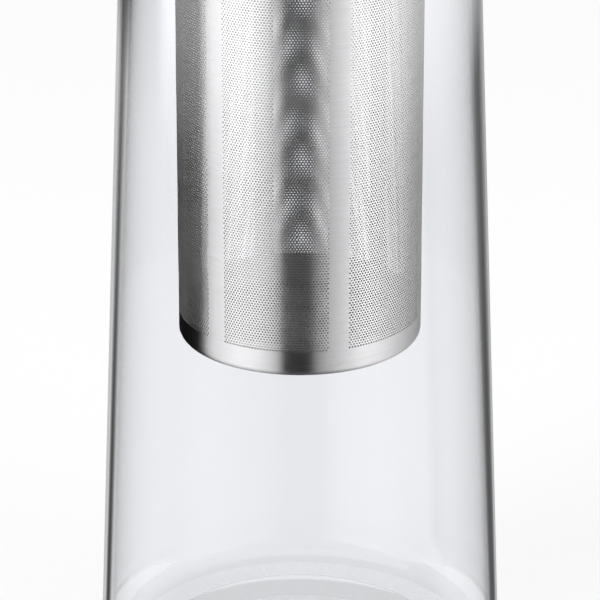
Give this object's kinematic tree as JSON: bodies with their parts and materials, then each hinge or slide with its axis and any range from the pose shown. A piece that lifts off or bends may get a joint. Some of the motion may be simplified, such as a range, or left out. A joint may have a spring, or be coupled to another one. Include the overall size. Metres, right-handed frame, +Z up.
{
  "type": "infuser carafe",
  "caption": "Conical glass carafe with an etched steel infuser hanging in its mouth, a slotted pouring collar and a steel lid whose hinged visor swings up to pour.",
  "frame": {"origin": "middle of the foot, on the table", "axes": "+Z up along the glass's axis, -Y the side that the lid pours over, +X along the hinge pin"},
  "size_m": [0.1016, 0.1016, 0.2726],
  "materials": {
    "glass": "clear, polished",
    "infuser_steel": "brushed round the tube",
    "collar_steel": "satin, brushed round the ring",
    "lid_steel": "brushed",
    "pin_steel": "polished",
    "silicone": "matt, milky",
    "core_plastic": "fine matt"
  },
  "bodies": {
    "carafe": {"glass_body": "glass"},
    "infuser": {"infuser_sleeve": "infuser_steel", "infuser_bottom": "infuser_steel", "infuser_collar": "collar_steel", "collar_gasket": "silicone"},
    "lid": {"lid_cover": "lid_steel", "lid_core": "core_plastic", "spigot_ring": "silicone", "hinge_pin": "pin_steel"},
    "visor": {"lid_visor": "lid_steel", "visor_seal": "silicone"}
  },
  "joints": [
    {"name": "infuser_lift", "type": "slide", "parent": "carafe", "child": "infuser", "axis": [0, 0, 1], "range_m": [0, 0.17]},
    {"name": "lid_lift", "type": "slide", "parent": "infuser", "child": "lid", "axis": [0, 0, 1], "range_m": [0, 0.03]},
    {"name": "visor_swing", "type": "hinge", "parent": "lid", "child": "visor", "pos_m": [0, -0.009, 0.2706], "axis": [-1, 0, 0], "range_deg": [0, 95]}
  ]
}
